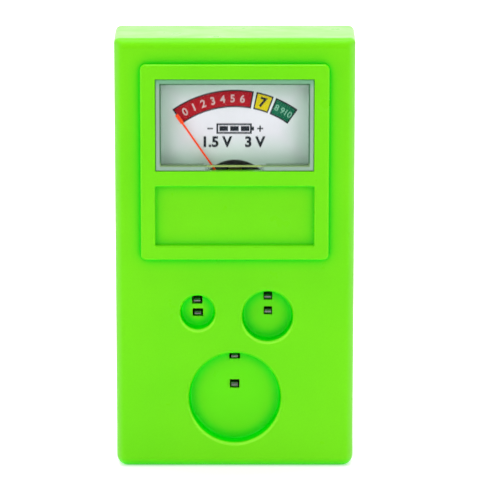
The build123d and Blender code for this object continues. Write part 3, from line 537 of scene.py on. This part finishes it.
def print_battery_symbol():
    """Cell outline with charge bars, plus and minus, above the two cell voltages."""
    def mm(*values):
        return tuple(v * MM for v in values)

    z0, z1 = 77.7, 80.1
    line = 0.40
    boxes = [
        mm(-4.2, 3.9, z0, z0 + line), mm(-4.2, 3.9, z1 - line, z1),
        mm(-4.2, -4.2 + line, z0 + line, z1 - line), mm(3.9 - line, 3.9, z0 + line, z1 - line),
        mm(3.9, 4.4, z0 + 0.75, z1 - 0.75),
    ]
    for k in range(3):
        boxes.append(mm(-3.5 + k * 2.45, -1.55 + k * 2.45, z0 + 0.62, z1 - 0.62))
    mid = (z0 + z1) / 2
    boxes += [mm(-6.3, -5.0, mid - 0.17, mid + 0.17),
              mm(5.1, 6.5, mid - 0.17, mid + 0.17), mm(5.63, 5.97, mid + 0.17, mid + 0.7),
              mm(5.63, 5.97, mid - 0.7, mid - 0.17)]
    mesh = bar_mesh("dial_battery_symbol", boxes, DIAL_FRONT, DIAL_FRONT - INK_T)
    add_piece("dial_battery_symbol", mesh, DIAL_BLACK)
    for text, x in (("1.5 V", -3.85), ("3 V", 4.7)):
        name = "dial_volts_low" if x < 0 else "dial_volts_high"
        print_figure(name, text, 3.3 * MM, x * MM, 75.85 * MM, 0, DIAL_BLACK, 0.13 * MM, 1)


print_dial()


# ---------------------------------------------------------------- circuit details
BOARD_LOW, BOARD_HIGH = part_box("circuit_board")
TRACK_T = 0.035 * MM
TRACK_W = 1.0 * MM
LEAD_R = 0.3 * MM
WIRE_R = 0.6 * MM
BUS_Z = 44.5 * MM
BANDS = {
    "large": ("brown", "green", "black", "gold"),
    "medium": ("brown", "black", "brown", "gold"),
    "small": ("red", "red", "brown", "gold"),
}
BAND_INK = {
    "brown": ink("brown_band", (0.10, 0.030, 0.010), (0.15, 0.05, 0.02), 0.35),
    "black": ink("black_band", (0.010, 0.010, 0.010), (0.03, 0.03, 0.03), 0.35),
    "green": ink("green_band", (0.02, 0.16, 0.04), (0.04, 0.22, 0.07), 0.35),
    "red": ink("red_band", (0.45, 0.015, 0.010), (0.55, 0.04, 0.03), 0.35),
    "gold": metal("gold_band", (0.66, 0.46, 0.16), (0.48, 0.32, 0.10), 0.32),
}
BAND_OFFSETS = (-2.45, -1.15, -0.25, 2.45)
BAND_HALF = 0.27
SWOLLEN_FROM = 1.6


def turned_mesh(name, profile, centre, axis, sides=32, stretch=(1.0, 1.0)):
    """Closed body of revolution about an axis, from (place along it, radius) pairs."""
    bm = bmesh.new()
    rings = []
    for along, radius in profile:
        ring = []
        for k in range(sides):
            angle = 2 * math.pi * k / sides
            u, v = radius * stretch[0] * math.cos(angle), radius * stretch[1] * math.sin(angle)
            place = (along, u, v) if axis == "X" else (u, along, v)
            ring.append(bm.verts.new(Vector(place) + Vector(centre)))
        rings.append(ring)
    for a, b in zip(rings, rings[1:]):
        for k in range(sides):
            bm.faces.new((a[k], a[(k + 1) % sides], b[(k + 1) % sides], b[k]))
    bm.faces.new(rings[0])
    bm.faces.new(reversed(rings[-1]))
    mesh = mesh_from(name, bm)
    for polygon in mesh.polygons:
        polygon.use_smooth = len(polygon.vertices) == 4
    return mesh


def solder_joint(name, x, y, z, way, width=(1.0, 1.0), height=0.75):
    """Solder that runs up from a pad, hollow-sided, to a small rounded tip."""
    shape = [(0.0, 0.95), (0.05, 0.92), (0.18, 0.70), (0.36, 0.52), (0.6, 0.42), (0.85, 0.36), (1.0, 0.22)]
    profile = [(way * height * along * MM, radius * MM) for along, radius in shape]
    mesh = turned_mesh(name, profile, (x, y, z), "Y", stretch=width)
    return add_piece(name, mesh, MATERIALS["tin"])


def solder_mound(name, x, y, z, way, half_x, half_z, height):
    """Low flat mound of solder round a contact foot or a wire end."""
    shape = [(0.0, 1.0), (0.25, 0.97), (0.55, 0.86), (0.8, 0.64), (0.95, 0.36), (1.0, 0.12)]
    profile = [(way * height * along, radius) for along, radius in shape]
    mesh = turned_mesh(name, profile, (x, y, z), "Y", stretch=(half_x, half_z))
    return add_piece(name, mesh, MATERIALS["tin"])


def prism_mesh(name, outline, back, front):
    """Flat sheet with the given outline in X and Z."""
    bm = bmesh.new()
    rows = [[bm.verts.new((x, y, z)) for x, z in outline] for y in (front, back)]
    count = len(outline)
    for k in range(count):
        bm.faces.new((rows[0][k], rows[0][(k + 1) % count], rows[1][(k + 1) % count], rows[1][k]))
    bm.faces.new(rows[0])
    bm.faces.new(reversed(rows[1]))
    return mesh_from(name, bm)


def corner_track(name, start, end):
    """Copper track that runs level from the start, then upright to the end."""
    (x0, z0), (x1, z1) = start, end
    sx = math.copysign(TRACK_W / 2, x1 - x0)
    sz = math.copysign(TRACK_W / 2, z1 - z0)
    outline = [(x0 - sx, z0 - sz), (x1 + sx, z0 - sz), (x1 + sx, z1 + sz),
               (x1 - sx, z1 + sz), (x1 - sx, z0 + sz), (x0 - sx, z0 + sz)]
    mesh = prism_mesh(name, outline, BOARD_LOW.y, BOARD_LOW.y - TRACK_T)
    add_piece(name, mesh, MATERIALS["copper"])


def foot_pad(contact):
    """Middle of the soldered end of a contact foot."""
    low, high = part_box(f"{contact}_foot")
    inwards = 1 if contact.endswith("floor") else -1
    return (low.x + high.x) / 2, (low.z + high.z) / 2 + inwards * 0.5 * MM


def resistor_place(size):
    """Middle of the load resistor for one cell size."""
    low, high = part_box(f"{size}_cell_resistor")
    return (low + high) / 2


def build_circuit_details():
    """Colour bands, solder and copper tracks on the board, and solder on the lugs."""
    leads_low, leads_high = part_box("resistor_leads")
    holes = (leads_low.x + LEAD_R, leads_high.x - LEAD_R)
    for size in WELL_NAMES:
        middle = resistor_place(size)
        for k, (offset, colour) in enumerate(zip(BAND_OFFSETS, BANDS[size])):
            surface = 1.15 if abs(offset) > SWOLLEN_FROM else 1.0
            a, b = (offset - BAND_HALF) * MM, (offset + BAND_HALF) * MM
            profile = [(a, (surface - 0.1) * MM), (a, (surface + 0.015) * MM),
                       (b, (surface + 0.015) * MM), (b, (surface - 0.1) * MM)]
            mesh = turned_mesh(f"{size}_resistor_band_{k}", profile, middle, "X")
            add_piece(mesh.name, mesh, BAND_INK[colour])
        for side, x in zip(("left", "right"), holes):
            solder_joint(f"{size}_resistor_solder_{side}", x, BOARD_LOW.y, middle.z, -1)
        for kind in ("floor", "rim"):
            x, z = foot_pad(f"{size}_{kind}")
            solder_mound(f"{size}_{kind}_solder", x, BOARD_LOW.y, z, -1, 1.15 * MM, 1.35 * MM, 0.2 * MM)
        corner_track(f"{size}_floor_track", foot_pad(f"{size}_floor"), (holes[1], middle.z))
    corner_track("small_rim_track", (foot_pad("small_rim")[0], BUS_Z), (14.0 * MM, 40.0 * MM))
    x, z = foot_pad("large_rim")
    riser = [(x - TRACK_W / 2, z), (x + TRACK_W / 2, z), (x + TRACK_W / 2, BUS_Z - TRACK_W / 2),
             (x - TRACK_W / 2, BUS_Z - TRACK_W / 2)]
    mesh = prism_mesh("large_rim_track", riser, BOARD_LOW.y, BOARD_LOW.y - TRACK_T)
    add_piece("large_rim_track", mesh, MATERIALS["copper"])
    for colour in ("red", "black"):
        low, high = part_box(f"{colour}_wire")
        solder_joint(f"{colour}_wire_solder", high.x - WIRE_R, BOARD_HIGH.y, low.z + WIRE_R, 1,
                     (1.35, 1.35), 0.6)
        lug_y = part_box("terminal_lugs")[1].y
        solder_mound(f"{colour}_lug_solder", low.x + WIRE_R, lug_y, high.z - 0.9 * MM, 1,
                     0.75 * MM, 1.1 * MM, 0.95 * MM)


build_circuit_details()


# ---------------------------------------------------------------- studio
FLOOR_DROP = 0.02 * MM
BEND_STEPS = 12


def studio_white():
    """Pale matt floor paint with a faint glow, so that the ground reads as white."""
    t = Tree("studio_white")
    t.set(Base_Color=(0.86, 0.86, 0.86), Roughness=0.6)
    t.set(Emission_Color=(1.0, 1.0, 1.0), Emission_Strength=0.35)
    return t.material


def make_floor():
    """Pale floor that curves up into a backdrop well behind the object."""
    half, front, back, height, bend = 3.0, -2.2, 1.6, 2.4, 0.5
    profile = [(front, 0.0), (back - bend, 0.0)]
    for k in range(1, BEND_STEPS + 1):
        angle = math.pi / 2 * k / BEND_STEPS
        profile.append((back - bend + bend * math.sin(angle), bend - bend * math.cos(angle)))
    profile.append((back, height))
    bm = bmesh.new()
    rows = [[bm.verts.new((x, y, z - FLOOR_DROP)) for x in (-half, half)] for y, z in profile]
    for a, b in zip(rows, rows[1:]):
        bm.faces.new((a[0], a[1], b[1], b[0]))
    mesh = bpy.data.meshes.new("studio_floor")
    bm.to_mesh(mesh)
    bm.free()
    mesh.materials.append(studio_white())
    floor = bpy.data.objects.new("studio_floor", mesh)
    bpy.context.scene.collection.objects.link(floor)
    for polygon in mesh.polygons:
        polygon.use_smooth = True


def softbox(name, place, target, size, watts):
    """Rectangular white lamp at a place, turned towards a target."""
    light = bpy.data.lights.new(name, "AREA")
    light.shape = "RECTANGLE"
    light.size, light.size_y = size
    light.energy = watts
    lamp = bpy.data.objects.new(name, light)
    lamp.location = place
    aim = Vector(target) - Vector(place)
    lamp.rotation_euler = aim.to_track_quat("-Z", "Y").to_euler()
    bpy.context.scene.collection.objects.link(lamp)


def make_lights():
    """Two front lamps, two overhead, one low at each side, and one on the backdrop."""
    world = bpy.data.worlds.new("studio_world")
    world.use_nodes = True
    background = world.node_tree.nodes["Background"]
    background.inputs["Color"].default_value = (1.0, 1.0, 1.0, 1.0)
    background.inputs["Strength"].default_value = 0.22
    bpy.context.scene.world = world
    middle = (0.0, 0.0, 0.05)
    softbox("overhead", (0.0, -0.10, 1.10), middle, (1.2, 1.2), 4.0)
    softbox("overhead_strip", (0.0, -0.20, 1.05), middle, (0.7, 0.12), 2.4)
    softbox("front_left", (-0.75, -1.10, 0.95), middle, (0.8, 0.8), 6.2)
    softbox("front_right", (0.85, -1.05, 0.70), middle, (0.8, 0.8), 4.2)
    for side in (-1, 1):
        softbox(f"edge_{side}", (side, -0.14, 0.20), middle, (0.35, 0.35), 2.4)
    softbox("backdrop_wash", (0.0, 0.35, 1.6), (0.0, 1.5, 0.5), (1.6, 0.6), 30.0)


def make_camera():
    """Slightly above the object, looking down on its face with a long lens."""
    data = bpy.data.cameras.new("camera")
    data.sensor_width = 36.0
    data.lens = 207.75
    camera = bpy.data.objects.new("camera", data)
    camera.location = (0.0012, -0.63755, 0.1694)
    camera.rotation_euler = (math.radians(90.0 - 10.5), 0.0, 0.0)
    bpy.context.scene.collection.objects.link(camera)
    bpy.context.scene.camera = camera


make_camera()
make_floor()
make_lights()
bpy.context.scene.view_settings.view_transform = "Standard"
